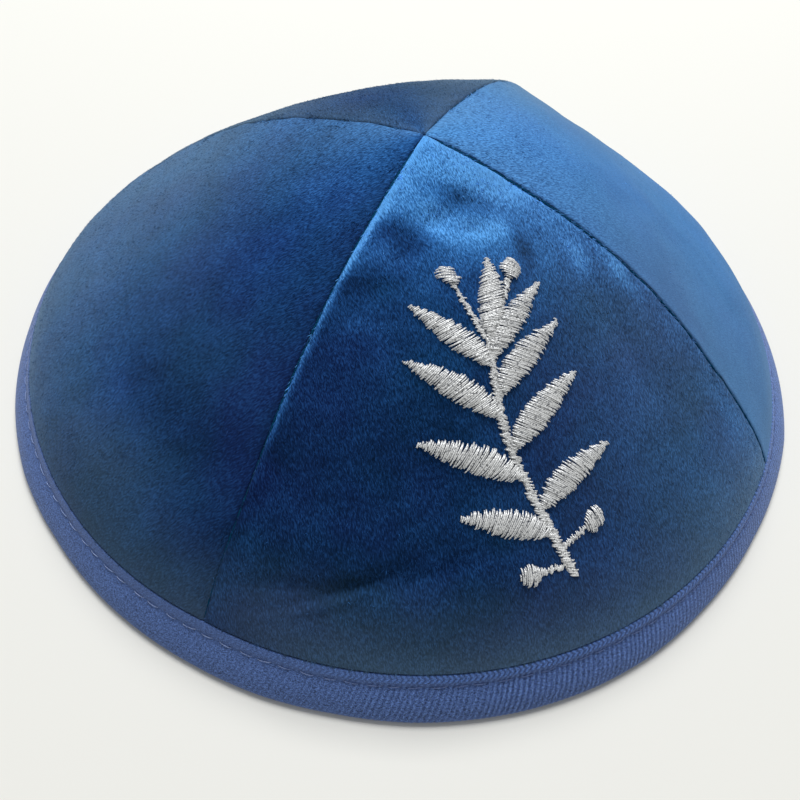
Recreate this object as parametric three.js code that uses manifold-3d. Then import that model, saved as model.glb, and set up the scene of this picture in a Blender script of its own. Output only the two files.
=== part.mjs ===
// A velvet skullcap resting on its rim: four cloth panels sewn edge to edge, a grosgrain ribbon
// folded over the lower edge, and a sprig embroidered on the front panel.
// Millimetres, +Z up. The rim stands on z = 0, centred on the origin, and the front faces -Y.
import * as THREE from "three";
import { mergeVertices } from "three/addons/utils/BufferGeometryUtils.js";
import Module from "manifold-3d";

const { clamp, degToRad, lerp, smoothstep } = THREE.MathUtils;

// The crown
const rimRadius = 91; // to the folded edge of the ribbon
const crownHeight = 62.7; // to the point where the four seams meet
const crownLeanX = -1.4; // the crown's point stands off the rim's centre
const crownLeanY = -3.1;
const clothThickness = 1.6;
const seamGap = 0.3; // between neighbouring panels
const pieceGap = 0.3; // between a panel and what is sewn to it
const panelTipRadius = 0.4; // how close to the crown's point each panel ends

// The ribbon over the rim
const ribbonThickness = 0.5;
const ribbonOutsideReach = 10.8; // from the fold up the outside
const ribbonInsideReach = 10;
const ribbonFoldThickness = 0.9; // two layers of ribbon under the hem
const hemThickness = 0.8; // the velvet is pressed flat inside the ribbon

// The embroidery
const stemHeight = 43; // from its foot to where the end leaf starts
const leafLength = 19;
const leafBreadth = 5.2;
const stemBreadth = 1.5;
const berryDiameter = 3.8;
const threadRise = 0.8; // how far the stitches stand off the velvet
const threadEdge = 0.35; // and at the edge of a leaf

// How finely the solids are cut
const panelColumns = 20;
const panelRows = 18;
const leafRows = 6;
const leafColumns = 4;
const stemRows = 12;
const berryRows = 4;

// The seam line from rim to crown: radius is a share of rimRadius, height of crownHeight
const seamLine = [
  { radius: 1, height: 0 },
  { radius: 0.87, height: 0.268 },
  { radius: 0.72, height: 0.488 },
  { radius: 0.565, height: 0.688 },
  { radius: 0.403, height: 0.836 },
  { radius: 0.234, height: 0.932 },
  { radius: 0, height: 1 },
];

// Level sections are round at the rim and squarer above it, with the seams at the corners.
// Roundness is 1 for a circle and 0 for straight sides; squaring runs between two shares of the slope.
const crownRoundness = 0.6;
const squaring = { from: 0.12, to: 0.58 };

// Each seam's azimuth in degrees, and how much fuller it is than the seam line, a share of its radius
const seams = {
  backRight: { azimuth: 45, fullness: 0.013 },
  backLeft: { azimuth: 135, fullness: -0.036 },
  frontLeft: { azimuth: 225, fullness: 0 },
  frontRight: { azimuth: 315, fullness: 0.034 },
};

// Each panel lies between two seams; extraRoundness is added half way up
const panels = [
  { name: "front_panel", start: "frontLeft", end: "frontRight", extraRoundness: 0.02, color: 0x174a8c },
  { name: "right_panel", start: "frontRight", end: "backRight", extraRoundness: -0.115, color: 0x2b62a8 },
  { name: "back_panel", start: "backRight", end: "backLeft", extraRoundness: -0.21, color: 0x12305c },
  { name: "left_panel", start: "backLeft", end: "frontLeft", extraRoundness: 0.17, color: 0x14416f },
];

// Dents and folds in the cloth. Across runs from the panel's first seam to its second and up runs
// from rim to crown. Length and breadth are shares of the slope from rim to crown, depth is a share
// of the cloth's thickness, negative for a swelling, and turn is in degrees from level.
const dents = [
  { panel: "front_panel", across: 0.78, up: 0.83, length: 0.07, breadth: 0.035, depth: 0.6, turn: 70 },
  { panel: "front_panel", across: 0.4, up: 0.82, length: 0.08, breadth: 0.03, depth: 0.55, turn: 25 },
  { panel: "front_panel", across: 0.55, up: 0.79, length: 0.06, breadth: 0.03, depth: 0.45, turn: -20 },
  { panel: "front_panel", across: 0.2, up: 0.74, length: 0.08, breadth: 0.035, depth: 0.45, turn: 60 },
  { panel: "front_panel", across: 0.86, up: 0.56, length: 0.2, breadth: 0.03, depth: 0.5, turn: 80 },
  { panel: "front_panel", across: 0.22, up: 0.24, length: 0.26, breadth: 0.022, depth: 0.5, turn: 14 },
  { panel: "front_panel", across: 0.45, up: 0.5, length: 0.3, breadth: 0.2, depth: -0.5, turn: 90 },
  { panel: "left_panel", across: 0.6, up: 0.4, length: 0.3, breadth: 0.16, depth: -0.6, turn: 20 },
  { panel: "right_panel", across: 0.5, up: 0.5, length: 0.3, breadth: 0.16, depth: -0.5, turn: 0 },
];
const dentEdge = 0.08; // dents die away this near a seam or the ribbon

// The sprig lies on the front panel. X runs across it and y up its slope, from the stem's foot;
// both are shares of stemHeight.
const stemFoot = { across: 0.545, up: 0.225 };
const stemPath = [
  { x: 0, y: 0 },
  { x: -0.07, y: 0.28 },
  { x: -0.13, y: 0.58 },
  { x: -0.115, y: 0.84 },
  { x: -0.085, y: 1 },
];
// Along is a share of the stem; turn is degrees from the stem's own direction, to its left;
// length and breadth are shares of leafLength and leafBreadth, and bend is how far the leaf's middle
// lies off its straight line, a share of its length.
const leaves = [
  { along: 0.16, turn: 56, length: 0.86, breadth: 0.9, bend: 0.12 },
  { along: 0.25, turn: -80, length: 0.92, breadth: 0.94, bend: -0.12 },
  { along: 0.36, turn: 52, length: 1, breadth: 1, bend: 0.12 },
  { along: 0.45, turn: -66, length: 1, breadth: 1, bend: -0.12 },
  { along: 0.57, turn: 52, length: 1, breadth: 1, bend: 0.12 },
  { along: 0.65, turn: -50, length: 1, breadth: 1, bend: -0.12 },
  { along: 0.79, turn: 50, length: 0.92, breadth: 0.95, bend: 0.11 },
  { along: 0.85, turn: -38, length: 0.94, breadth: 0.92, bend: -0.11 },
  { along: 0.985, turn: -4, length: 0.88, breadth: 0.95, bend: 0.08 },
];
// Stalk is the berry's distance from the stem, a share of leafLength
const berries = [
  { along: 0.05, turn: 78, stalk: 0.26 },
  { along: 0.11, turn: -84, stalk: 0.3 },
  { along: 0.92, turn: 24, stalk: 0.7 },
  { along: 0.94, turn: -20, stalk: 0.72 },
];
const stalkBreadth = 0.55; // a share of stemBreadth

const fabric = { roughness: 0.95, metalness: 0 };
const ribbonColor = 0x3f5896;
const threadColor = 0xd9d9d4;

// The seam line runs up one side and down the other, so that it is level at the crown
const seamPoint = ({ radius, height }, side) =>
  new THREE.Vector3(side * radius * rimRadius, height * crownHeight, 0);
const overTheCrown = [
  ...seamLine.map((row) => seamPoint(row, 1)),
  ...seamLine.slice(0, -1).reverse().map((row) => seamPoint(row, -1)),
];
const slope = new THREE.CatmullRomCurve3(overTheCrown);
slope.arcLengthDivisions = 600;
const slopeLength = slope.getLength() / 2;
const ribbonTopUp = ribbonOutsideReach / slopeLength;
const panelTopUp = 1 - panelTipRadius / slopeLength;

// A point of the smooth skin, before its dents, at a share across the panel and up the slope
function skinPoint(panel, across, up) {
  const level = slope.getPointAt(clamp(up, 0, 1) / 2);
  const [start, end] = [seams[panel.start], seams[panel.end]];
  const half = degToRad(((end.azimuth - start.azimuth + 360) % 360) / 2);
  const turn = lerp(-half, half, across);
  const azimuth = degToRad(start.azimuth) + half + turn;
  const swell = Math.sin(Math.PI * up);
  const squared = smoothstep(up, squaring.from, squaring.to);
  const roundness = lerp(1, crownRoundness, squared) + panel.extraRoundness * swell;
  const fullness = 1 + lerp(start.fullness, end.fullness, across) * swell;
  const radius = level.x * fullness * lerp(Math.cos(half) / Math.cos(turn), 1, roundness);
  const risen = level.y / crownHeight;
  return new THREE.Vector3(
    crownLeanX * risen + radius * Math.cos(azimuth),
    crownLeanY * risen + radius * Math.sin(azimuth),
    level.y,
  );
}

// The way out of the skin. Along a seam it stays in the seam's own plane, so neighbours meet in a mitre.
function wayOut(panel, across, up) {
  const step = 0.002;
  const near = clamp(up, step, 1 - 4 * step);
  const acrossStep = skinPoint(panel, across + step, near).sub(skinPoint(panel, across - step, near));
  const upStep = skinPoint(panel, across, near + step).sub(skinPoint(panel, across, near - step));
  const normal = acrossStep.cross(upStep).normalize();
  const side = across === 0 ? panel.start : across === 1 ? panel.end : null;
  if (side === null || up < ribbonTopUp) return normal;
  const sideways = seamSide(side);
  const slant = normal.dot(sideways);
  return normal.addScaledVector(sideways, -slant).divideScalar(1 - slant * slant);
}

// The level direction square to a seam's plane, pointing to greater azimuths
function seamSide(name) {
  const azimuth = degToRad(seams[name].azimuth);
  const outward = new THREE.Vector3(Math.cos(azimuth), Math.sin(azimuth), 0);
  return new THREE.Vector3(crownLeanX, crownLeanY, crownHeight).cross(outward).normalize();
}

function dentDepth(panel, across, up) {
  const acrossLength = skinPoint(panel, 0, up).distanceTo(skinPoint(panel, 1, up)) / slopeLength;
  const fade = smoothstep(Math.min(across, 1 - across, up - ribbonTopUp), 0, dentEdge);
  let depth = 0;
  for (const dent of dents.filter((row) => row.panel === panel.name)) {
    const turn = degToRad(dent.turn);
    const [x, y] = [(across - dent.across) * acrossLength, up - dent.up];
    const along = (x * Math.cos(turn) + y * Math.sin(turn)) / dent.length;
    const beside = (y * Math.cos(turn) - x * Math.sin(turn)) / dent.breadth;
    depth += dent.depth * clothThickness * Math.exp(-2 * (along * along + beside * beside));
  }
  return depth * fade;
}

// A point under the skin, or over it where depth is negative
function clothPoint(panel, across, up, depth) {
  const sunk = depth + dentDepth(panel, across, up);
  return skinPoint(panel, across, up).addScaledVector(wayOut(panel, across, up), -sunk);
}

// The point at a given depth under the skin that lies at a given height
function clothPointAtHeight(panel, across, depth, height) {
  let [low, high] = [0, 1];
  while (high - low > 1e-6) {
    const middle = (low + high) / 2;
    if (clothPoint(panel, across, middle, depth).z < height) low = middle;
    else high = middle;
  }
  return clothPoint(panel, across, low, depth).setZ(height);
}

// A closed body from quads between points; quads that shrink to a line are dropped
function closedBody(quads) {
  const corners = quads.flatMap(([a, b, c, d]) => [a, b, c, a, c, d]);
  const loose = new THREE.BufferGeometry().setFromPoints(corners);
  const merged = mergeVertices(loose, 1e-5);
  const index = [];
  for (let i = 0; i < merged.index.count; i += 3) {
    const [a, b, c] = [0, 1, 2].map((corner) => merged.index.getX(i + corner));
    if (a !== b && b !== c && c !== a) index.push(a, b, c);
  }
  merged.setIndex(index);
  return merged;
}

// A sheet with its outer and inner faces given as rows of points, counted up, left to right from outside
function sheetBody(outer, inner) {
  const quads = [];
  const lastRow = outer.length - 1;
  const lastColumn = outer[0].length - 1;
  for (let row = 0; row < lastRow; row += 1) {
    for (let column = 0; column < lastColumn; column += 1) {
      const [next, up] = [column + 1, row + 1];
      quads.push([outer[row][column], outer[row][next], outer[up][next], outer[up][column]]);
      quads.push([inner[row][next], inner[row][column], inner[up][column], inner[up][next]]);
    }
    quads.push([inner[row][0], outer[row][0], outer[row + 1][0], inner[row + 1][0]]);
    const [out, back] = [outer.map((line) => line[lastColumn]), inner.map((line) => line[lastColumn])];
    quads.push([out[row], back[row], back[row + 1], out[row + 1]]);
  }
  for (let column = 0; column < lastColumn; column += 1) {
    const [foot, hem] = [outer[0], inner[0]];
    quads.push([hem[column], hem[column + 1], foot[column + 1], foot[column]]);
    const [head, top] = [outer[lastRow], inner[lastRow]];
    quads.push([head[column], head[column + 1], top[column + 1], top[column]]);
  }
  return closedBody(quads);
}

function panelMesh(panel) {
  const hemDepth = ribbonThickness + pieceGap;
  const hemFoot = ribbonFoldThickness + pieceGap;
  const openUp = ribbonTopUp + pieceGap / slopeLength;

  // Each side stands half a gap off its seam
  const offSeam = (point, across) => {
    if (across > 0 && across < 1) return point;
    const side = across === 0 ? panel.start : panel.end;
    return point.addScaledVector(seamSide(side), (across === 0 ? 1 : -1) * (seamGap / 2));
  };
  const tip = (depth) => clothPoint(panel, 0.5, panelTopUp, depth);
  const rowOf = (pointAt) => {
    const columns = Array.from({ length: panelColumns + 1 }, (_, column) => column / panelColumns);
    return columns.map((across) => offSeam(pointAt(across), across));
  };
  const skinRow = (up, depth) => rowOf((across) => clothPoint(panel, across, up, depth));
  const footRow = (depth) => rowOf((across) => clothPointAtHeight(panel, across, depth, hemFoot));

  const outer = [footRow(hemDepth), skinRow(openUp, hemDepth)];
  const inner = [footRow(hemDepth + hemThickness), skinRow(openUp, hemDepth + hemThickness)];
  const lastUp = panelTopUp - (panelTopUp - openUp) / panelRows;
  for (let row = 0; row < panelRows; row += 1) {
    const up = lerp(openUp, lastUp, row / (panelRows - 1));
    outer.push(skinRow(up, 0));
    inner.push(skinRow(up, clothThickness));
  }
  outer.push(Array(panelColumns + 1).fill(tip(0)));
  inner.push(Array(panelColumns + 1).fill(tip(clothThickness)));

  const material = new THREE.MeshStandardMaterial({ ...fabric, color: panel.color });
  const mesh = new THREE.Mesh(sheetBody(outer, inner), material);
  mesh.name = panel.name;
  return mesh;
}

// The ribbon's section at one azimuth, round the folded strip as a closed loop
function ribbonSection(panel, across) {
  const onSlope = (reach, depth) => clothPoint(panel, across, reach / slopeLength, depth);
  const atHeight = (height, depth) => clothPointAtHeight(panel, across, depth, height);
  const hemOutside = ribbonThickness;
  const hemInside = hemOutside + pieceGap + hemThickness + pieceGap;
  const insideFace = hemInside + ribbonThickness;
  return [
    onSlope(0, 0),
    onSlope(ribbonOutsideReach / 2, 0),
    onSlope(ribbonOutsideReach, 0),
    onSlope(ribbonOutsideReach, hemOutside),
    onSlope(ribbonOutsideReach / 2, hemOutside),
    atHeight(ribbonFoldThickness, hemOutside),
    atHeight(ribbonFoldThickness, hemInside),
    onSlope(ribbonInsideReach / 2, hemInside),
    onSlope(ribbonInsideReach, hemInside),
    onSlope(ribbonInsideReach, insideFace),
    onSlope(ribbonInsideReach / 2, insideFace),
    atHeight(0, insideFace),
  ];
}

function ribbonMesh() {
  const sections = panels.flatMap((panel) =>
    Array.from({ length: panelColumns }, (_, column) => ribbonSection(panel, column / panelColumns)),
  );
  const quads = sections.flatMap((section, turn) => {
    const next = sections[(turn + 1) % sections.length];
    return section.map((point, corner) => {
      const after = (corner + 1) % section.length;
      return [point, next[corner], next[after], section[after]];
    });
  });
  const material = new THREE.MeshStandardMaterial({ ...fabric, color: ribbonColor });
  const mesh = new THREE.Mesh(closedBody(quads), material);
  mesh.name = "rim_binding";
  return mesh;
}

// A point of the embroidery: x across the front panel and y up it from the stem's foot, and its rise
function sprigPoint(x, y, rise) {
  const front = panels.find((panel) => panel.name === "front_panel");
  const up = stemFoot.up + y / slopeLength;
  const breadth = skinPoint(front, 0, up).distanceTo(skinPoint(front, 1, up));
  return clothPoint(front, stemFoot.across + x / breadth, up, -pieceGap - rise);
}

// A field of stitches along a curve, domed across its breadth, closing to a point where its breadth is 0
function stitchPad(curve, breadthAt, rows, columns) {
  const upper = [];
  const lower = [];
  for (let row = 0; row <= rows; row += 1) {
    const share = row / rows;
    const middle = curve.getPoint(share);
    const ahead = curve.getTangent(share);
    const half = breadthAt(share) / 2;
    const shares = Array.from({ length: columns + 1 }, (_, column) => (2 * column) / columns - 1);
    const place = (across) => [middle.x + ahead.y * half * across, middle.y - ahead.x * half * across];
    const rise = (across) => lerp(threadRise, threadEdge, across * across);
    upper.push(shares.map((across) => sprigPoint(...place(across), rise(across))));
    lower.push(shares.map((across) => sprigPoint(...place(across), 0)));
  }
  return sheetBody(upper, lower);
}

const flatPoint = ({ x, y }) => new THREE.Vector3(x, y, 0);
const onward = (from, direction, length) => from.clone().addScaledVector(direction, length);
const faceOn = new THREE.Vector3(0, 0, 1);
const turned = (direction, degrees) => direction.clone().applyAxisAngle(faceOn, degToRad(degrees));

function leafPad(stem, leaf) {
  const foot = stem.getPoint(leaf.along);
  const direction = turned(stem.getTangent(leaf.along), leaf.turn);
  const length = leaf.length * leafLength;
  const middle = onward(foot, direction, length / 2);
  const bowed = onward(middle, turned(direction, -90), leaf.bend * length);
  const rib = new THREE.QuadraticBezierCurve3(foot, bowed, onward(foot, direction, length));
  const breadthAt = (share) => leafBreadth * leaf.breadth * Math.sin(Math.PI * share ** 0.8);
  return stitchPad(rib, breadthAt, leafRows, leafColumns);
}

function berryPads(stem, berry) {
  const foot = stem.getPoint(berry.along);
  const direction = turned(stem.getTangent(berry.along), berry.turn);
  const near = onward(foot, direction, berry.stalk * leafLength);
  const stalk = new THREE.LineCurve3(foot, onward(near, direction, berryDiameter / 4));
  const body = new THREE.LineCurve3(near, onward(near, direction, berryDiameter));
  const round = (share) => 2 * berryDiameter * Math.sqrt(share * (1 - share));
  return [
    stitchPad(stalk, () => stalkBreadth * stemBreadth, berryRows, 1),
    stitchPad(body, round, 2 * berryRows, leafColumns),
  ];
}

async function sprigMesh() {
  const wasm = await Module();
  wasm.setup();
  const asSolid = (geometry) => {
    const vertProperties = geometry.attributes.position.array;
    return new wasm.Manifold(new wasm.Mesh({ numProp: 3, vertProperties, triVerts: geometry.index.array }));
  };

  const stemPoints = stemPath.map(flatPoint).map((point) => point.multiplyScalar(stemHeight));
  const stem = new THREE.CatmullRomCurve3(stemPoints);
  const pads = [
    stitchPad(stem, () => stemBreadth, stemRows, 2),
    ...leaves.map((leaf) => leafPad(stem, leaf)),
    ...berries.flatMap((berry) => berryPads(stem, berry)),
  ];
  const joined = pads.map(asSolid).reduce((whole, pad) => whole.add(pad)).getMesh();

  const geometry = new THREE.BufferGeometry();
  geometry.setAttribute("position", new THREE.BufferAttribute(joined.vertProperties, 3));
  geometry.setIndex(new THREE.BufferAttribute(joined.triVerts, 1));
  const thread = new THREE.MeshStandardMaterial({ color: threadColor, roughness: 0.35, metalness: 0.4 });
  const mesh = new THREE.Mesh(geometry, thread);
  mesh.name = "embroidered_sprig";
  return mesh;
}

const skullcap = new THREE.Group();
skullcap.add(...panels.map(panelMesh), ribbonMesh(), await sprigMesh());
for (const mesh of skullcap.children) mesh.geometry.computeVertexNormals();

export default skullcap;
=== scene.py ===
import math

import bpy
import numpy as np
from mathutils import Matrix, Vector, noise


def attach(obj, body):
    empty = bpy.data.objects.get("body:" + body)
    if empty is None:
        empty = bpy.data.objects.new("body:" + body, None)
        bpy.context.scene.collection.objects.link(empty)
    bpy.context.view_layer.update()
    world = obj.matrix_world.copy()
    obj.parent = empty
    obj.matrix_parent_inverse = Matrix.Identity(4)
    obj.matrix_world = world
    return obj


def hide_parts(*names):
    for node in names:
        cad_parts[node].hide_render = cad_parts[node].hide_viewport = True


# A velvet skullcap resting on its rim. Metres, Z up, the front panel faces -Y.

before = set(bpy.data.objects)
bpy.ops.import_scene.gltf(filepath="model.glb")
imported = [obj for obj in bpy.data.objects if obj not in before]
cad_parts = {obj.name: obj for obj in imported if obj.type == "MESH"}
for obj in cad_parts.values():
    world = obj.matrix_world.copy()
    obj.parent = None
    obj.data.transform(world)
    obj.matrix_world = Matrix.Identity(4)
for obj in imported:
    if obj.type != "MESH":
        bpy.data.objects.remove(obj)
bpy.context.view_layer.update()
bpy.ops.object.select_all(action="DESELECT")
dice = np.random.default_rng(18)
print("frame loaded:", sorted(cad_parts))


# Camera, at the photograph's angle

camera = dict(location=(-0.05273, -0.12610, 0.16168), turn=(36.063, -3.089, -18.408), lens=38.7)

bpy.ops.object.camera_add(location=camera["location"], rotation=[math.radians(a) for a in camera["turn"]])
photoCamera = bpy.context.object
photoCamera.name = "photoCamera"
photoCamera.data.lens = camera["lens"]
photoCamera.data.clip_start = 0.005
bpy.context.scene.camera = photoCamera


# The crown's shape, the same values as the solids

# line: radius and height along a seam, as shares of the rim's radius and the crown's height
crown = dict(
    rimRadius=0.091, height=0.0627, leanX=-0.0014, leanY=-0.0031, cloth=0.0016,
    roundness=0.6, squareFrom=0.12, squareTo=0.58, tip=0.0004,
    line=[(1, 0), (0.87, 0.268), (0.72, 0.488), (0.565, 0.688), (0.403, 0.836), (0.234, 0.932), (0, 1)],
)
# opening: how far the panels gape at a seam; threadDepth: how far its thread lies below the groove
seams = dict(
    backRight=dict(azimuth=45, fullness=0.013, opening=0.00004, groove=0.0005, threadDepth=0.0003),
    backLeft=dict(azimuth=135, fullness=-0.036, opening=0.00004, groove=0.0005, threadDepth=0.0003),
    frontLeft=dict(azimuth=225, fullness=0, opening=0.0001, groove=0.00045, threadDepth=0.00016),
    frontRight=dict(azimuth=315, fullness=0.034, opening=0.00036, groove=0.00075, threadDepth=-0.00006),
)
# extra: how much rounder a panel stands between its two seams
gores = dict(
    front=dict(start="frontLeft", end="frontRight", extra=0.02),
    right=dict(start="frontRight", end="backRight", extra=-0.115),
    back=dict(start="backRight", end="backLeft", extra=-0.21),
    left=dict(start="backLeft", end="frontLeft", extra=0.17),
)
# A dent: across, up, length and breadth (shares of the slope), depth (share of the cloth), turn in degrees
dents = dict(
    front=[
        (0.78, 0.83, 0.07, 0.035, 0.6, 70), (0.4, 0.82, 0.08, 0.03, 0.55, 25),
        (0.55, 0.79, 0.06, 0.03, 0.45, -20), (0.2, 0.74, 0.08, 0.035, 0.45, 60),
        (0.86, 0.56, 0.2, 0.03, 0.5, 80), (0.22, 0.24, 0.26, 0.022, 0.5, 14),
        (0.45, 0.5, 0.3, 0.2, -0.5, 90), (0.2, 0.232, 0.17, 0.009, 0.28, 29),
        (0.2, 0.218, 0.17, 0.008, -0.22, 29), (0.59, 0.85, 0.06, 0.022, 0.3, -40),
        (0.195, 0.79, 0.05, 0.018, 0.3, -30),
    ],
    left=[(0.6, 0.4, 0.3, 0.16, -0.6, 20)],
    right=[(0.5, 0.5, 0.3, 0.16, -0.5, 0)],
    back=[],
)


def smooth(value, low, high):
    share = np.clip((value - low) / (high - low), 0, 1)
    return share * share * (3 - 2 * share)


def smoothCurve(knots, samples):
    # a centripetal curve through the knots, with so many points from each knot to the next
    knots = np.vstack([2 * knots[0] - knots[1], knots, 2 * knots[-1] - knots[-2]])
    share = np.linspace(0, 1, samples, endpoint=False)[:, None]
    points = []
    for a, b, c, d in zip(knots, knots[1:], knots[2:], knots[3:]):
        ab, bc, cd = [math.sqrt(np.linalg.norm(q - p)) for p, q in ((a, b), (b, c), (c, d))]
        leave = ((b - a) / ab - (c - a) / (ab + bc) + (c - b) / bc) * bc
        reach = ((c - b) / bc - (d - b) / (bc + cd) + (d - c) / cd) * bc
        bend = -3 * b + 3 * c - 2 * leave - reach
        points.append(b + leave * share + bend * share ** 2 + (2 * b - 2 * c + leave + reach) * share ** 3)
    return np.vstack(points + [knots[-2][None]])


def lengthsAlong(points):
    return np.concatenate([[0], np.cumsum(np.linalg.norm(np.diff(points, axis=0), axis=1))])


def seamCurve():
    # the seams' line over the crown and down the other side
    rows = crown["line"] + [(-r, h) for r, h in crown["line"][-2::-1]]
    points = smoothCurve(np.array(rows) * (crown["rimRadius"], crown["height"]), 300)
    lengths = lengthsAlong(points)
    half = lengths[-1] / 2
    return lengths / half, points, half


slopeShares, slopePoints, slopeLength = seamCurve()
print(f"slope from rim to crown {slopeLength * 1000:.1f} mm")


def skin(gore, across, up):
    # a panel's outer face: across runs from 0 to 1 between its seams, up from the rim to the crown
    start, end = seams[gores[gore]["start"]], seams[gores[gore]["end"]]
    half = math.radians(((end["azimuth"] - start["azimuth"] + 360) % 360) / 2)
    turn = half * (2 * across - 1)
    azimuth = math.radians(start["azimuth"]) + half + turn
    up = np.clip(up, 0, 1)
    swell = np.sin(np.pi * up)
    squared = smooth(up, crown["squareFrom"], crown["squareTo"])
    roundness = 1 + (crown["roundness"] - 1) * squared + gores[gore]["extra"] * swell
    fullness = 1 + (start["fullness"] + (end["fullness"] - start["fullness"]) * across) * swell
    flat = math.cos(half) / np.cos(turn)
    radius = np.interp(up, slopeShares, slopePoints[:, 0]) * fullness * (flat + (1 - flat) * roundness)
    height = np.interp(up, slopeShares, slopePoints[:, 1])
    risen = height / crown["height"]
    x = crown["leanX"] * risen + radius * np.cos(azimuth)
    y = crown["leanY"] * risen + radius * np.sin(azimuth)
    return np.stack([x, y, height], axis=-1)


def unit(vectors):
    return vectors / np.linalg.norm(vectors, axis=-1, keepdims=True)


nudge = 0.002


def acrossWay(gore, across, up):
    near = np.clip(up, nudge, 0.992)
    return skin(gore, across + nudge, near) - skin(gore, across - nudge, near)


def upWay(gore, across, up):
    near = np.clip(up, nudge, 0.992)
    return skin(gore, across, near + nudge) - skin(gore, across, near - nudge)


def outward(gore, across, up):
    return unit(np.cross(acrossWay(gore, across, up), upWay(gore, across, up)))


def seamSide(name):
    azimuth = math.radians(seams[name]["azimuth"])
    axis = np.array([crown["leanX"], crown["leanY"], crown["height"]])
    return unit(np.cross(axis, [math.cos(azimuth), math.sin(azimuth), 0]))


def mitred(normal, side):
    # the normal turned into the plane of a seam, so that both panels meet in it
    sideways = seamSide(side)
    slant = (normal @ sideways)[..., None]
    return (normal - slant * sideways) / (1 - slant ** 2)


def chord(gore, up):
    return np.linalg.norm(skin(gore, 0 * up, up) - skin(gore, 0 * up + 1, up), axis=-1)


def firmness(up):
    # the seams lie flatter towards the rim
    return 0.4 + 0.6 * smooth(up, 0.15, 0.5)


binding = dict(
    outsideReach=0.0108, insideReach=0.010, thickness=0.0005, foldThickness=0.0009, hem=0.0008, gap=0.0003,
    ribs=520, perRib=4, ribDepth=0.00008, slant=2.3, footSweep=0.005, footReach=0.0035,
    selvage=0.002, selvageDepth=0.00016, selvageRise=0.0001, chevronTip=0.0009, chevronReach=0.0016,
    stitchLine=0.0028, groove=0.00022, grooveBreadth=0.00035,
    # depths within the fold, where no rib shows
    pocket=(0.0006, 0.0022),
    # the section from the underside up the outside: height and depth, then reach and depth, then reach
    foot=[(0.0, 0.0006), (0.0001, 0.0001), (0.0004, -0.0005), (0.0009, -0.00095), (0.0015, -0.0012),
          (0.0021, -0.0013)],
    roll=[(0.0031, -0.0013), (0.0041, -0.0012), (0.0049, -0.00102), (0.0057, -0.00076),
          (0.0066, -0.0004), (0.0073, -0.00012)],
    face=[0.0078, 0.0081, 0.0084, 0.0088, 0.0092, 0.0096, 0.0099, 0.0102, 0.0105],
    bulge=0.0013, rollTop=0.0075, rollDepth=0.0007,
    # round the rim (one unit to a panel): how far the fold bulges, how crisp the ribs are, and how much
    # lighter the ribs are painted there, as painted light (darker, as painted shade, where negative)
    turns=[0, 0.1, 0.2, 0.3, 0.45, 0.55, 0.65, 0.75, 0.9, 1, 1.1, 1.3, 1.5, 2, 3, 3.3, 3.47, 3.6, 3.72,
           3.85, 4],
    bulges=[0.74, 0.9, 0.84, 1.08, 1.15, 1.1, 0.9, 0.5, 0.25, 0.45, 0.78, 0.5, 0.3, 0.3, 0.1, 0.1, 0.6,
            0.85, 0.6, 0.74, 0.74],
    crisp=[0.12, 0.2, 0.34, 0.48, 0.6, 0.6, 0.55, 0.5, 0.45, 0.4, 0.4, 0.35, 0.3, 0.3, 0.2, 0.15, 0.08,
           0.05, 0.04, 0.05, 0.12],
    shine=[0, 0, 0, -0.02, -0.04, -0.04, 0, 0.02, 0.06, 0.12, 0.2, 0.24, 0.2, 0.1, 0, 0, 0, 0, 0, 0, 0],
)
bindingTop = binding["outsideReach"] / slopeLength


def patchesAt(gore, patches, across, up):
    # soft elliptical patches lying on a panel, summed: across, up, length, breadth, share, turn
    breadth = chord(gore, up) / slopeLength
    total = 0 * (across + up)
    for acrossAt, upAt, length, width, share, turn in patches:
        x, y = (across - acrossAt) * breadth, up - upAt
        c, s = math.cos(math.radians(turn)), math.sin(math.radians(turn))
        along, beside = (x * c + y * s) / length, (y * c - x * s) / width
        total = total + share * np.exp(-2 * (along ** 2 + beside ** 2))
    return total


dentEdge = 0.08


def dented(gore, across, up):
    fade = smooth(np.minimum(np.minimum(across, 1 - across), up - bindingTop), 0, dentEdge)
    return crown["cloth"] * patchesAt(gore, dents[gore], across, up) * fade


def billow(points, size, seed):
    # smooth noise, a value from about -0.5 to 0.5 at each point
    offset = Vector((seed * 3.7, seed * 1.3, seed * 5.1))
    flat = points.reshape(-1, 3)
    values = [noise.noise(Vector(p) / size + offset) for p in flat]
    return np.array(values).reshape(points.shape[:-1])


# Soft unevenness of the cloth: size and height of each ripple, and its seed
ripples = [(0.018, 0.0004, 1), (0.007, 0.00018, 2)]


def ripple(gore, across, up):
    points = skin(gore, across, up)
    fade = smooth(np.minimum(across, 1 - across) * chord(gore, up), 0.001, 0.012)
    fade = fade * smooth(up - bindingTop, 0.01, 0.08)
    return sum(height * billow(points, size, seed) for size, height, seed in ripples) * fade


def clothPoint(gore, across, up, depth, ways=None):
    # a point at a depth below the panel's outer face
    ways = outward(gore, across, up) if ways is None else ways
    return skin(gore, across, up) - (depth + dented(gore, across, up))[..., None] * ways


def upAtHeight(gore, across, depth, height):
    # how far up the slope a layer at this depth stands at this height above the floor
    low, high = 0 * across, 0 * across + 0.2
    for _ in range(24):
        middle = (low + high) / 2
        below = clothPoint(gore, across, middle, depth)[..., 2] < height
        low, high = np.where(below, middle, low), np.where(below, high, middle)
    return low


# Mesh helpers

def readPoints(piece):
    points = np.empty(len(piece.data.vertices) * 3)
    piece.data.vertices.foreach_get("co", points)
    return points.reshape(-1, 3)


def movePoints(piece, points):
    piece.data.vertices.foreach_set("co", np.ascontiguousarray(points, dtype=float).ravel())
    piece.data.update()


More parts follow.
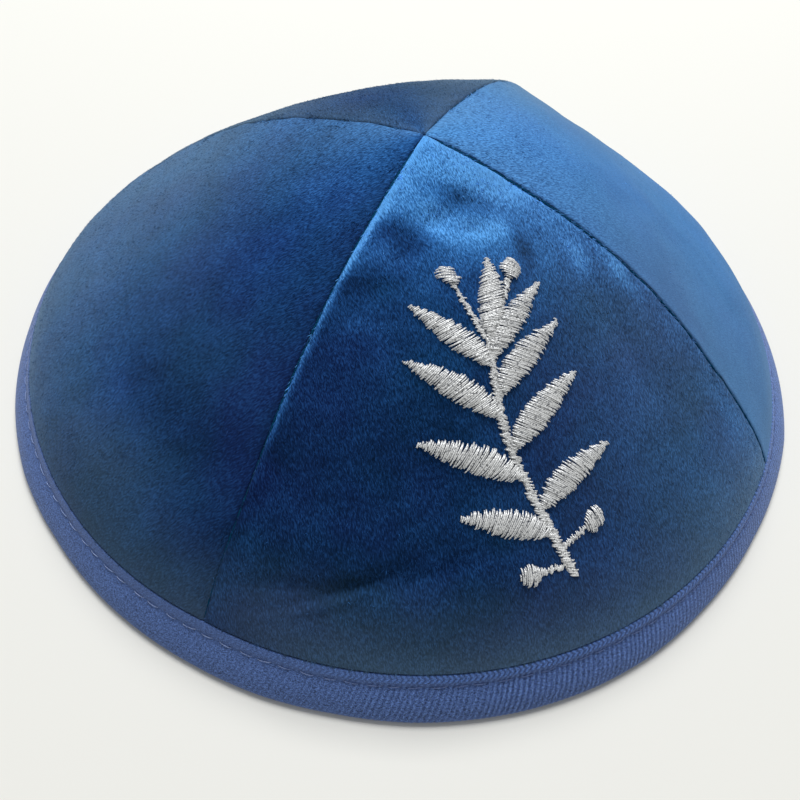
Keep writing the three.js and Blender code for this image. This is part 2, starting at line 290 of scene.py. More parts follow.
def grid(name, columns, rows):
    bpy.ops.mesh.primitive_grid_add(x_subdivisions=columns, y_subdivisions=rows, size=2)
    piece = bpy.context.object
    piece.name = piece.data.name = name
    flat = readPoints(piece)
    column = np.rint((flat[:, 0] + 1) / 2 * columns).astype(int)
    row = np.rint((flat[:, 1] + 1) / 2 * rows).astype(int)
    return piece, column, row


def paint(piece, name, values):
    layer = piece.data.attributes.new(name, "FLOAT", "POINT")
    layer.data.foreach_set("value", np.ascontiguousarray(values, dtype=float))


def layUv(piece, name, points):
    # the piece's UV map, with one place for each vertex
    corners = np.empty(len(piece.data.loops), dtype=int)
    piece.data.loops.foreach_get("vertex_index", corners)
    piece.data.uv_layers[0].name = name
    piece.data.uv_layers[name].data.foreach_set("uv", np.ascontiguousarray(points[corners]).ravel())


cutUnit = 0.15


def cutPattern(gore, across, up, corner=(0.5, 0.02), wide=1, high=1):
    # places on the panel's cut pattern, one unit to 0.15 m of cloth
    flatX = (across - 0.5) * chord(gore, up) * wide
    return np.stack([corner[0] + flatX / cutUnit, up * slopeLength * high / cutUnit + corner[1]], axis=-1)


def solo(piece):
    bpy.ops.object.select_all(action="DESELECT")
    piece.select_set(True)
    bpy.context.view_layer.objects.active = piece


def join(pieces, name):
    solo(pieces[0])
    for piece in pieces:
        piece.select_set(True)
    bpy.ops.object.join()
    pieces[0].name = pieces[0].data.name = name
    return pieces[0]


def editAll(piece):
    solo(piece)
    bpy.ops.object.mode_set(mode="EDIT")
    bpy.ops.mesh.select_all(action="SELECT")


def closeUp(piece, merge=0.000002):
    editAll(piece)
    bpy.ops.mesh.remove_doubles(threshold=merge)
    bpy.ops.mesh.normals_make_consistent(inside=False)
    bpy.ops.object.mode_set(mode="OBJECT")
    bpy.ops.object.shade_smooth()


def copies(template, count):
    # the template many times over, in one mesh
    solo(template)
    many = template.modifiers.new("many", "ARRAY")
    many.count = count
    many.relative_offset_displace = (0, 0, 0)
    bpy.ops.object.modifier_apply(modifier="many")
    return readPoints(template).reshape(count, -1, 3)


def dress(piece, material, solid=None):
    piece.data.materials.clear()
    piece.data.materials.append(material)
    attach(piece, "root")
    if solid:
        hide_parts(solid)


# Materials

def newMaterial(name, look, roughness, sheen=0.0, sheenRoughness=0.4, sheenTint=(1, 1, 1),
                metallic=0.0, specular=0.5):
    material = bpy.data.materials.new(name)
    material.use_nodes = True
    shader = material.node_tree.nodes["Principled BSDF"]
    shader.inputs["Base Color"].default_value = (*look, 1)
    shader.inputs["Roughness"].default_value = roughness
    shader.inputs["Sheen Weight"].default_value = sheen
    shader.inputs["Sheen Roughness"].default_value = sheenRoughness
    shader.inputs["Sheen Tint"].default_value = (*sheenTint, 1)
    shader.inputs["Metallic"].default_value = metallic
    shader.inputs["Specular IOR Level"].default_value = specular
    return material, material.node_tree, shader


def feed(tree, socket, value):
    if hasattr(value, "links"):
        tree.links.new(value, socket)
    else:
        socket.default_value = value


def node(tree, kind, **settings):
    made = tree.nodes.new(kind)
    inputs = settings.pop("inputs", {})
    for key, value in settings.items():
        setattr(made, key, value)
    for key, value in inputs.items():
        feed(tree, made.inputs[key], value)
    return made


def calc(tree, operation, *values, clamp=False):
    inputs = dict(enumerate(values))
    return node(tree, "ShaderNodeMath", operation=operation, use_clamp=clamp, inputs=inputs).outputs[0]


def blend(tree, factor, first, second, mode="MIX"):
    # a colour mix: its sockets 0, 6 and 7 are the factor and the two colours
    inputs = {0: factor, 6: first, 7: second}
    return node(tree, "ShaderNodeMix", data_type="RGBA", blend_type=mode, inputs=inputs).outputs[2]


def dimmed(tree, colour, level):
    grey = node(tree, "ShaderNodeCombineColor", inputs={0: level, 1: level, 2: level})
    return blend(tree, 1.0, colour, grey.outputs[0], mode="MULTIPLY")


def spread(tree, value, low, high, toLow=0.0, toHigh=1.0):
    inputs = {"Value": value, "From Min": low, "From Max": high, "To Min": toLow, "To Max": toHigh}
    return node(tree, "ShaderNodeMapRange", inputs=inputs).outputs[0]


def painted(tree, name):
    return node(tree, "ShaderNodeAttribute", attribute_name=name).outputs["Fac"]


def flecksOn(tree, uvName, scale, finer):
    uv = node(tree, "ShaderNodeUVMap", uv_map=uvName)
    place = node(tree, "ShaderNodeMapping", inputs=dict(Vector=uv.outputs[0], Scale=(*scale, 1)))
    inputs = dict(Place=place.outputs[0], Finer=finer)
    return node(tree, "ShaderNodeGroup", node_tree=fibreFlecks, inputs=inputs).outputs[0]


def roughen(tree, shader, height, strength, distance):
    bump = node(tree, "ShaderNodeBump", inputs=dict(Height=height, Strength=strength, Distance=distance))
    tree.links.new(bump.outputs[0], shader.inputs["Normal"])


def sRgb(red, green, blue):
    shares = [value / 255 for value in (red, green, blue)]
    linear = [v / 12.92 if v <= 0.04 else ((v + 0.055) / 1.055) ** 2.4 for v in shares]
    return (*linear, 1)


def fibreGroup():
    # fine lengthwise flecks, as the pile of velvet or the yarns of a ribbon show
    group = bpy.data.node_groups.new("fibreFlecks", "ShaderNodeTree")
    for name, kind in (("Place", "NodeSocketVector"), ("Finer", "NodeSocketFloat")):
        group.interface.new_socket(name, in_out="INPUT", socket_type=kind)
    group.interface.new_socket("Fleck", in_out="OUTPUT", socket_type="NodeSocketFloat")
    start = group.nodes.new("NodeGroupInput")
    end = group.nodes.new("NodeGroupOutput")
    place = start.outputs["Place"]
    sway = node(group, "ShaderNodeTexNoise", inputs=dict(Vector=place, Scale=0.35, Detail=1.0))
    lean = node(group, "ShaderNodeVectorMath", operation="SUBTRACT", inputs={0: sway.outputs["Color"]})
    lean.inputs[1].default_value = (0.5, 0.5, 0.5)
    swing = node(group, "ShaderNodeVectorMath", operation="SCALE", inputs={0: lean.outputs[0], "Scale": 1.6})
    moved = node(group, "ShaderNodeVectorMath", operation="ADD", inputs={0: place, 1: swing.outputs[0]})
    coarse = node(group, "ShaderNodeTexNoise", inputs=dict(Vector=moved.outputs[0], Scale=1.0, Detail=2.0))
    twice = node(group, "ShaderNodeVectorMath", operation="SCALE",
                 inputs={0: moved.outputs[0], "Scale": start.outputs["Finer"]})
    fine = node(group, "ShaderNodeTexNoise", inputs=dict(Vector=twice.outputs[0], Scale=1.0, Detail=1.0))
    both = calc(group, "ADD", coarse.outputs["Fac"], fine.outputs["Fac"])
    group.links.new(calc(group, "MULTIPLY", both, 0.5), end.inputs[0])
    return group


fibreFlecks = fibreGroup()

# tones: the pile from dark to light
velvetLook = dict(
    tones=[(7, 23, 50), (14, 42, 86), (30, 74, 132), (54, 114, 184), (94, 168, 242)],
    # a grey-blue for greying by the rim and for painted sheen at the panels' sides
    greyingAndPaintedSheen=sRgb(112, 142, 165), violet=sRgb(58, 70, 170), teal=sRgb(22, 96, 120),
    fleckAcross=0.0003, fleckAlong=0.001, fleckTone=0.3, fleckLight=0.5,
)


def velvetMaterial():
    material, tree, shader = newMaterial("velvet", sRgb(30, 74, 132)[:3], 0.9, sheen=0.22,
                                         sheenRoughness=0.3, sheenTint=(0.5, 0.72, 1.0), specular=0.03)
    scale = (cutUnit / velvetLook["fleckAcross"], cutUnit / velvetLook["fleckAlong"])
    flecks = flecksOn(tree, "cut", scale, 1.7)
    fleck = spread(tree, flecks, 0.38, 0.62, -0.5, 0.5)
    grain = painted(tree, "grain")
    reach = calc(tree, "MULTIPLY", grain, velvetLook["fleckTone"])
    # the pile's tone with its painted light and shade, and fine flecks
    tone = calc(tree, "MULTIPLY_ADD", fleck, reach, painted(tree, "napAndPaintedLightShade"), clamp=True)
    ramp = node(tree, "ShaderNodeValToRGB", inputs=dict(Fac=tone))
    stops, colours = ramp.color_ramp.elements, [sRgb(*row) for row in velvetLook["tones"]]
    stops[0].color, stops[1].color = colours[0], colours[-1]
    for index, colour in enumerate(colours[1:-1], 1):
        stops.new(index / (len(colours) - 1)).color = colour
    # the dye drifts a little between violet and teal
    wide = node(tree, "ShaderNodeTexCoord").outputs["Object"]
    drift = node(tree, "ShaderNodeTexNoise", inputs=dict(Vector=wide, Scale=45.0, Detail=2.0))
    cooler = blend(tree, 0.1, ramp.outputs["Color"], velvetLook["teal"])
    warmer = blend(tree, 0.08, ramp.outputs["Color"], velvetLook["violet"])
    drifted = blend(tree, spread(tree, drift.outputs["Fac"], 0.35, 0.65), cooler, warmer)
    # greyer by the rim, and painted sheen at the two sides
    greyed = blend(tree, painted(tree, "greyingAndPaintedSheen"), drifted, velvetLook["greyingAndPaintedSheen"])
    # every hair a little lighter or darker, and the flecks too, also where the cloth is grey; the lift also
    # carries each panel's painted lightness
    speck = calc(tree, "MULTIPLY_ADD", fleck, calc(tree, "MULTIPLY", grain, velvetLook["fleckLight"]), 1.0)
    colour = dimmed(tree, greyed, calc(tree, "MULTIPLY", painted(tree, "lift"), speck))
    tree.links.new(colour, shader.inputs["Base Color"])
    roughen(tree, shader, calc(tree, "MULTIPLY", flecks, grain), 0.5, 0.0004)
    return material


def ribbonMaterial():
    material, tree, shader = newMaterial("ribbon", (0.06, 0.1, 0.26), 0.7, sheen=0.15, sheenRoughness=0.5,
                                         sheenTint=(0.75, 0.82, 1), specular=0.15)
    flecks = flecksOn(tree, "strip", (1400, 90), 2.0)
    # the ribs' colour runs from painted shade in their hollows to painted light on their crests
    ribs = blend(tree, painted(tree, "rise"), sRgb(44, 64, 118), sRgb(107, 139, 202))
    # the selvage's chevrons painted lighter on their crests, as painted highlights
    yarn = blend(tree, painted(tree, "edge"), ribs, sRgb(98, 138, 216))
    colour = dimmed(tree, yarn, spread(tree, flecks, 0.38, 0.62, 0.4, 1.6))
    tree.links.new(colour, shader.inputs["Base Color"])
    roughen(tree, shader, flecks, 0.4, 0.0001)
    return material


def threadMaterial(name, dark, light, roughness, specular, lumps, spotting, metallic=0.0, sheen=0.0):
    material, tree, shader = newMaterial(name, light[:3], roughness, sheen, metallic=metallic,
                                         specular=specular)
    # two plies twist round the thread, painted a little lighter on each ply and darker between, and small
    # spots are painted darker, as painted light and shade of the twisted thread
    ply = node(tree, "ShaderNodeUVMap", uv_map="ply")
    parts = node(tree, "ShaderNodeSeparateXYZ", inputs=dict(Vector=ply.outputs[0]))
    twist = calc(tree, "MULTIPLY_ADD", parts.outputs[1], 4.0, parts.outputs[0])
    wave = calc(tree, "SINE", calc(tree, "MULTIPLY", twist, 4 * math.pi))
    level = calc(tree, "MULTIPLY_ADD", wave, 0.5, 0.5)
    wide = node(tree, "ShaderNodeTexCoord").outputs["Object"]
    noisy = node(tree, "ShaderNodeTexNoise", inputs=dict(Vector=wide, Scale=2600.0, Detail=1.0))
    spots = noisy.outputs["Fac"]
    spot = spread(tree, spots, 0.34, 0.44, 1 - spotting)
    shade = calc(tree, "MULTIPLY", spot, calc(tree, "MULTIPLY_ADD", level, 0.1, 0.95))
    # each stitch's own random tone, and on the top stitches painted light
    shade = calc(tree, "MULTIPLY", shade, painted(tree, "toneAndPaintedLight"), clamp=True)
    tree.links.new(blend(tree, shade, dark, light), shader.inputs["Base Color"])
    height = calc(tree, "MULTIPLY_ADD", spots, lumps, calc(tree, "MULTIPLY", level, 0.4))
    roughen(tree, shader, height, 0.8, 0.00008)
    return material


velvetCloth = velvetMaterial()
grosgrain = ribbonMaterial()
silverThread = threadMaterial("silverThread", sRgb(74, 80, 92), sRgb(252, 254, 255), roughness=0.3,
                              specular=1.0, lumps=2.0, spotting=0.8, metallic=0.15, sheen=0.9)
topThread = threadMaterial("topThread", sRgb(54, 76, 132), sRgb(172, 192, 236), roughness=0.7, specular=0.2,
                           lumps=1.0, spotting=0.6)
seamThread = threadMaterial("seamThread", sRgb(6, 40, 66), sRgb(14, 70, 104), roughness=1.0, specular=0.0,
                            lumps=1.0, spotting=0.5)
print("materials ready")


# The four velvet panels

velvet = dict(
    columns=112, seamColumns=10, rows=116, rollRows=9, hemRows=3, innerColumns=26, innerRows=26,
    seamWidth=0.0013, hemFoot=0.018, rollFoot=0.00005, rollHeight=0.0005, innerOpening=0.00015,
    pinch=0.8, pinchSize=0.0035, tuck=0.00025, tuckSize=0.0045, tuckReach=0.006, seamShade=0.5,
    cutWidth=0.143, cutHeight=0.118, cutArea=dict(front=0.01, right=0.01, back=0.0098, left=0.01),
)
# How light the pile looks, partly the pile's own tone and partly painted light and shade: a profile up the
# panel (painted light towards the crown), a slope across it (mostly painted sheen towards the side seen more
# edge-on), then patches of (across, up, length, breadth, tone, turn in degrees), lengths as shares of the
# slope; the dark patches are painted shade in the dents and the crease, the light ones painted highlights
# beside them. Mottle is its unevenness, grain its coarseness low and high on the panel, light a painted
# lightness for the whole panel, then its greyness by the rim with painted sheen at the two sides, greys more
# patches of that greyness, and edges the painted highlights along the two seams (painted shade where
# negative).
tones = dict(
    front=dict(
        up=[0, 0.1, 0.2, 0.3, 0.5, 0.6, 0.68, 0.73, 0.78, 0.84, 1],
        tone=[0.33, 0.33, 0.29, 0.3, 0.33, 0.4, 0.48, 0.64, 0.88, 0.95, 0.95],
        slope=0.26, mottle=0.09, grain=(0.9, 0.85), light=1, greyingAndPaintedSheen=(0.34, 0, 0.22), edges=(0.7, 0.1),
        greys=[(0.45, 0.1, 0.4, 0.06, 0.1, 0), (0.08, 0.14, 0.2, 0.12, 0.12, 0)],
        patches=[
            (0.62, 0.843, 0.082, 0.042, -0.44, -38), (0.2, 0.782, 0.075, 0.036, -0.44, -30),
            (0.1, 0.7, 0.08, 0.03, -0.26, 10), (0.735, 0.729, 0.058, 0.02, -0.36, 71),
            (0.575, 0.685, 0.055, 0.028, -0.22, -27), (0.365, 0.801, 0.045, 0.018, 0.12, -31),
            (0.895, 0.67, 0.045, 0.024, 0.3, 76), (0.965, 0.62, 0.08, 0.018, 0.28, 80),
            (0.01, 0.75, 0.16, 0.02, 0.15, 83), (0.135, 0.626, 0.06, 0.018, 0.12, 0),
            (0.2, 0.247, 0.17, 0.02, -0.1, 29), (0.22, 0.2, 0.17, 0.026, 0.07, 29),
            (0.265, 0.354, 0.05, 0.014, 0.1, 25), (0.78, 0.36, 0.12, 0.08, 0.1, 90),
            (0.97, 0.32, 0.3, 0.03, 0.12, 86), (1.0, 0.14, 0.2, 0.07, 0.26, 90),
            (0.86, 0.18, 0.22, 0.16, 0.09, 90), (0.03, 0.2, 0.16, 0.03, 0.1, 88),
            (0.62, 0.77, 0.09, 0.03, 0.08, 0), (0.06, 0.775, 0.06, 0.02, -0.14, 60),
            (0.08, 0.27, 0.2, 0.12, 0.06, 80), (0.08, 0.12, 0.2, 0.12, 0.03, 0),
            (0.0, 0.15, 0.1, 0.05, 0.12, 88), (0.6, 0.8, 0.14, 0.05, 0.06, 0),
            (0.88, 0.78, 0.09, 0.05, -0.14, 0), (0.06, 0.55, 0.16, 0.05, 0.08, 85),
        ],
    ),
    right=dict(
        up=[0, 0.12, 0.3, 0.5, 0.7, 0.9, 1], tone=[0.86, 0.86, 0.86, 0.84, 0.86, 0.92, 0.96],
        slope=0.1, mottle=0.03, grain=(0.24, 0.75), light=0.84, greyingAndPaintedSheen=(0.18, 0.36, 0.66), edges=(0, 0),
        greys=[],
        patches=[(0.05, 0.45, 0.3, 0.05, -0.05, 90), (0, 0.15, 0.2, 0.08, 0.08, 90)],
    ),
    back=dict(
        up=[0, 0.5, 0.8, 1], tone=[0.38, 0.32, 0.3, 0.54], slope=0.05, mottle=0.08, grain=(0.7, 0.85),
        light=0.84, greyingAndPaintedSheen=(0.2, 0.84, 0.64), edges=(0, 0), greys=[], patches=[],
    ),
    left=dict(
        up=[0, 0.12, 0.3, 0.6, 0.8, 0.9, 1], tone=[0.42, 0.39, 0.41, 0.43, 0.5, 0.58, 0.62],
        slope=-0.28, mottle=0.09, grain=(0.72, 0.85), light=1, greyingAndPaintedSheen=(0.31, 0.5, 0), edges=(0, -0.04),
        greys=[(0.72, 0.24, 0.2, 0.1, 0.16, 10), (0.42, 0.26, 0.2, 0.16, 0.1, 0),
               (0.7, 0.47, 0.2, 0.16, 0.05, 0)],
        patches=[(0.78, 0.115, 0.26, 0.032, -0.06, 0), (0.45, 0.26, 0.25, 0.16, 0.08, 0)],
    ),
)


edgeBreadth = 0.0009


# the pile's tone, partly its own and partly painted light and shade, from the table above
def napAndPaintedLightShadeAt(gore, across, up):
    row = tones[gore]
    tone = np.interp(up, row["up"], row["tone"]) + row["slope"] * (across - 0.5)
    tone = tone + patchesAt(gore, row["patches"], across, up)
    # painted highlights along the seams, painted shade where the share is negative
    high = smooth(up, 0.3, 0.5)
    for edge, share in zip(row["edges"], (across, 1 - across)):
        tone = tone + high * edge * np.exp(-(share * chord(gore, up) / edgeBreadth) ** 2)
    points = skin(gore, across, up)
    return tone + row["mottle"] * (billow(points, 0.012, 7) + 0.8 * billow(points, 0.004, 8))


def grainAt(gore, up):
    low, high = tones[gore]["grain"]
    return low + (high - low) * smooth(up, 0.5, 0.9)


# greyer by the rim and in patches, and painted sheen at the two sides seen edge-on
def greyingAndPaintedSheenAt(gore, across, up):
    foot, start, end = tones[gore]["greyingAndPaintedSheen"]
    low = foot * (1 - smooth(up, 0.06, 0.28)) * smooth(across, -0.1, 0.3)
    low = low + patchesAt(gore, tones[gore]["greys"], across, up)
    sides = start * (1 - smooth(across, 0, 0.75)) + end * smooth(across, 0.35, 1)
    return np.clip(low + sides * (1 - 0.6 * smooth(up, 0.5, 0.8)), 0, 1)


def sideRate(gore, side, up):
    # metres to one unit of across, beside a seam
    step = 0.02
    inside, seam = skin(gore, abs(side - step) + 0 * up, up), skin(gore, side + 0 * up, up)
    return np.linalg.norm(inside - seam, axis=-1) / step


def sidesOf(gore):
    # the seams at a panel's two sides, and which way is into the panel
    return (gores[gore]["start"], 1), (gores[gore]["end"], -1)


def panelRows():
    # the hem inside the ribbon, the roll out over the ribbon's edge, then the panel up to the crown
    hem = binding["thickness"] + binding["gap"]
    roll = np.linspace(0, 0.5 * math.pi, velvet["rollRows"] + 1)
    rollUp = bindingTop + (velvet["rollFoot"] + velvet["rollHeight"] * (1 - np.cos(roll))) / slopeLength
    rollDepth = hem * (1 - np.sin(roll))
    lastUp = 1 - crown["tip"] / slopeLength
    above = np.linspace(rollUp[-1], lastUp, velvet["rows"] + 1)[1:]
    hemUp = np.linspace(velvet["hemFoot"], bindingTop, velvet["hemRows"] + 1)
    up = np.concatenate([hemUp, rollUp, above])
    depth = np.concatenate([0 * hemUp + hem, rollDepth, 0 * above])
    return up, depth


def outerFace(gore):
    rowUp, rowDepth = panelRows()
    count = velvet["columns"] + 2 * velvet["seamColumns"]
    piece, column, row = grid(gore + "Velvet", count, len(rowUp) - 1)

    # columns crowd into the rolled edges at the two seams
    up, hemDepth = rowUp[row], rowDepth[row]
    startRate, endRate = sideRate(gore, 0, up), sideRate(gore, 1, up)
    width = np.minimum(velvet["seamWidth"], 0.22 * chord(gore, up))
    narrow = width / velvet["seamWidth"]
    startBend, endBend = [0.5 * math.pi * np.clip(steps / velvet["seamColumns"], 0, 1)
                          for steps in (column, count - column)]
    low, high = width / startRate, 1 - width / endRate
    share = (column - velvet["seamColumns"]) / velvet["columns"]
    across = low + (high - low) * share
    across = np.where(share < 0, width * (1 - np.cos(startBend)) / startRate, across)
    across = np.where(share > 1, 1 - width * (1 - np.cos(endBend)) / endRate, across)

    toSeams = (across * startRate, (1 - across) * endRate)
    normal, firm, free = outward(gore, across, up), firmness(up), up > bindingTop
    ways, grooves, shifts = normal, 0, []
    for (name, sign), toSeam, bend in zip(sidesOf(gore), toSeams, (startBend, endBend)):
        near = (1 - smooth(toSeam, 0, 2 * width + 1e-9)) * free
        ways = ways + (mitred(normal, name) - normal) * near[:, None]
        grooves = grooves + seams[name]["groove"] * (1 - np.sin(bend))
        gape = seams[name]["opening"] * (1 - np.sin(bend)) * narrow * firm
        shifts.append(sign * seamSide(name) * gape[:, None])
    points = skin(gore, across, up)
    pinch = 1 + velvet["pinch"] * billow(points, velvet["pinchSize"], 4)
    seamDepth = grooves * narrow * pinch * firm
    tuck = 1 - smooth(np.minimum(*toSeams), 0, velvet["tuckReach"])
    tuck = tuck * velvet["tuck"] * billow(points, velvet["tuckSize"], 5)
    tuck = tuck * smooth(up, bindingTop, bindingTop + 0.05)
    depth = np.where(free, np.maximum(hemDepth, seamDepth), hemDepth)
    depth = depth + np.where(hemDepth < binding["thickness"], tuck + ripple(gore, across, up), 0)
    place = clothPoint(gore, across, up, depth, ways) + shifts[0] + shifts[1]
    place[row == 0, 2] = binding["foldThickness"] + binding["gap"]
    movePoints(piece, place)

    layUv(piece, "cut", cutPattern(gore, across, up, wide=1.06))
    shade = 1 - velvet["seamShade"] * (1 - np.minimum(np.sin(startBend), np.sin(endBend))) * free
    # the pile's painted light and shade, darkened in the rolled seam edges as painted shade
    paint(piece, "napAndPaintedLightShade", napAndPaintedLightShadeAt(gore, across, up) * shade)
    paint(piece, "greyingAndPaintedSheen", greyingAndPaintedSheenAt(gore, across, up))
    paint(piece, "grain", grainAt(gore, up))
    # each panel's painted lightness
    paint(piece, "lift", 0 * up + tones[gore]["light"])
    return piece


def innerFace(gore):
    rowUp = panelRows()[0]
    columns, rows = velvet["innerColumns"], velvet["innerRows"]
    piece, column, row = grid(gore + "Inside", columns, rows)
    across, up = column / columns, rowUp[0] + (rowUp[-1] - rowUp[0]) * row / rows
    normal = outward(gore, across, up)
    ways, shifts = normal, []
    for (name, sign), edge in zip(sidesOf(gore), (column == 0, column == columns)):
        ways = np.where((edge & (up > bindingTop))[:, None], mitred(normal, name), ways)
        shifts.append(sign * seamSide(name) * (velvet["innerOpening"] * edge)[:, None])
    place = clothPoint(gore, across, up, 0 * up + crown["cloth"], ways) + shifts[0] + shifts[1]
    place[row == 0, 2] = binding["foldThickness"] + binding["gap"]
    movePoints(piece, place)
    layUv(piece, "cut", cutPattern(gore, across, up, corner=(0.1, 0.8), wide=0.2, high=0.2))
    for name, value in dict(napAndPaintedLightShade=0.15, greyingAndPaintedSheen=0, grain=0.5, lift=1).items():
        paint(piece, name, 0 * up + value)
    editAll(piece)
    bpy.ops.mesh.flip_normals()
    bpy.ops.object.mode_set(mode="OBJECT")
    return piece


def velvetPanel(gore):
    # the inner face is coarser, and is joined to the outer one along all four sides
    piece = join([outerFace(gore), innerFace(gore)], gore + "Velvet")
    editAll(piece)
    bpy.ops.mesh.select_mode(type="EDGE")
    bpy.ops.mesh.select_all(action="DESELECT")
    bpy.ops.mesh.select_non_manifold()
    bpy.ops.mesh.bridge_edge_loops()
    bpy.ops.mesh.select_mode(type="VERT")
    bpy.ops.object.mode_set(mode="OBJECT")
    closeUp(piece, 0.00001)
    dress(piece, velvetCloth, gore + "_panel")
    return piece


panelPieces = {gore: velvetPanel(gore) for gore in gores}
print("velvet panels:", {gore: len(piece.data.polygons) for gore, piece in panelPieces.items()})


# The pile: short hairs lying down the slope

pile = dict(
    perPanel=33000, length=0.00085, width=0.00014, lean=0.36, spread=0.42, rooted=0.0002, fleck=0.14,
    lift=0.2, foot=0.0015, top=0.996, room=0.00012, lint=0.0025, lintLean=1.3, lintLift=1.6,
)


def pileHairs(gore):
    count = pile["perPanel"]
    bpy.ops.mesh.primitive_cone_add(vertices=3, radius1=1, radius2=0, depth=1, location=(0, 0, 0))
    piece = bpy.context.object
    piece.name = piece.data.name = gore + "Pile"
    local = copies(piece, count)
    # even over the cloth: more hairs where the panel is broad
    tries = dice.random((count * 4, 3))
    foot = bindingTop + pile["foot"]
    up = foot + (pile["top"] - bindingTop - pile["foot"]) * tries[:, 1]
    kept = np.nonzero(tries[:, 2] < chord(gore, up) / chord(gore, np.array([0.12]))[0] * 0.98)[0][:count]
    across, up = tries[kept, 0], up[kept]
    breadth = chord(gore, up)
    room = np.minimum(pile["room"] / breadth, 0.2)
    across = room + (1 - 2 * room) * across
    grain = grainAt(gore, up)

    # the hairs by a seam are rooted in its groove
    toSeam = np.minimum(across, 1 - across) * breadth / velvet["seamWidth"]
    first, last = [seams[name]["groove"] for name, sign in sidesOf(gore)]
    nearer = np.where(across < 0.5, first, last) * firmness(up)
    sunk = 0.6 * nearer * (1 - np.sqrt(1 - (1 - np.clip(toSeam, 0, 1)) ** 2))
    base = clothPoint(gore, across, up, ripple(gore, across, up) + pile["rooted"] + sunk)
    outWays = outward(gore, across, up)
    down = -unit(upWay(gore, across, up))
    beside = unit(acrossWay(gore, across, up))
    twist = dice.normal(0, pile["spread"], count)
    lean = pile["lean"] * (0.6 + 0.8 * dice.random(count)) * (0.3 + 0.7 * grain)
    lint = dice.random(count) < pile["lint"]
    lean = np.where(lint, pile["lintLean"] * pile["lean"], lean)
    way = unit(down * np.cos(twist)[:, None] + beside * np.sin(twist)[:, None] + outWays * lean[:, None])
    side = unit(np.cross(way, outWays))
    over = np.cross(side, way)
    length = pile["length"] * (0.6 + 0.8 * dice.random(count))
    width = pile["width"] * (0.7 + 0.6 * dice.random(count))
    along = (local[..., 2] + 0.5)[..., None] * length[:, None, None] * way[:, None, :]
    sideways = (local[..., 0] * width[:, None])[..., None] * side[:, None, :]
    upright = (local[..., 1] * width[:, None] * 0.6)[..., None] * over[:, None, :]
    points = base[:, None, :] + along + sideways + upright
    movePoints(piece, points.reshape(-1, 3))

    # each hair takes the panel's painted light and shade, with a random tone of its own
    napAndPaintedLightShade = napAndPaintedLightShadeAt(gore, across, up)
    tone = napAndPaintedLightShade + dice.normal(0.01, pile["fleck"], count) * (0.6 + 0.6 * np.clip(napAndPaintedLightShade, 0, 1)) * grain
    # a random lightness for each hair, times the panel's painted lightness
    lift = np.exp(dice.normal(0, pile["lift"], count) * grain) * tones[gore]["light"]
    lift = np.where(lint, pile["lintLift"], lift)
    for name, values in dict(napAndPaintedLightShade=tone, lift=lift, greyingAndPaintedSheen=greyingAndPaintedSheenAt(gore, across, up), grain=grain).items():
        paint(piece, name, np.repeat(values, local.shape[1]))
    layUv(piece, "cut", np.repeat(cutPattern(gore, across, up), local.shape[1], axis=0))
    dress(piece, velvetCloth)
    return piece


pilePieces = {gore: pileHairs(gore) for gore in gores}
print("pile:", sum(len(piece.data.polygons) for piece in pilePieces.values()), "faces")


# The grosgrain ribbon round the rim

def ringSection():
    # round the folded strip: (kind, value, depth); slope rows give a reach, height rows a height
    outside, inside, thick = binding["outsideReach"], binding["insideReach"], binding["thickness"]
    fold, lip = binding["foldThickness"], 0.0001
    hemInside = thick + 2 * binding["gap"] + binding["hem"]
    insideDepth = hemInside + thick
    rows = [("height", height, depth) for height, depth in binding["foot"]]
    rows += [("slope", reach, depth) for reach, depth in binding["roll"]]
    rows += [("slope", reach, 0.0) for reach in binding["face"]]
    rows += [
        ("slope", outside - lip, 0.00006), ("slope", outside, thick / 2), ("slope", outside - lip, thick),
        ("slope", outside * 0.5, thick), ("height", fold, thick), ("height", fold, hemInside),
        ("slope", inside * 0.5, hemInside), ("slope", inside - lip, hemInside),
        ("slope", inside, hemInside + thick / 2), ("slope", inside - lip, insideDepth),
        ("slope", inside * 0.66, insideDepth), ("slope", inside * 0.33, insideDepth),
        ("height", 0.0003, insideDepth), ("height", 0.0, insideDepth - 0.0003),
    ]
    return rows


def ringPlace(turn, kind, value, depth):
    # turn runs from 0 to 4 round the rim, one for each panel
    value, depth = 0 * turn + value, 0 * turn + depth
    place = np.zeros((len(turn), 3))
    for index, gore in enumerate(gores):
        mine = np.floor(turn % 4).astype(int) == index
        across = turn[mine] % 1
        up = value[mine] / slopeLength
        if kind == "height":
            up = upAtHeight(gore, across, depth[mine], value[mine])
        place[mine] = clothPoint(gore, across, up, depth[mine])
        if kind == "height":
            place[mine, 2] = value[mine]
    return place


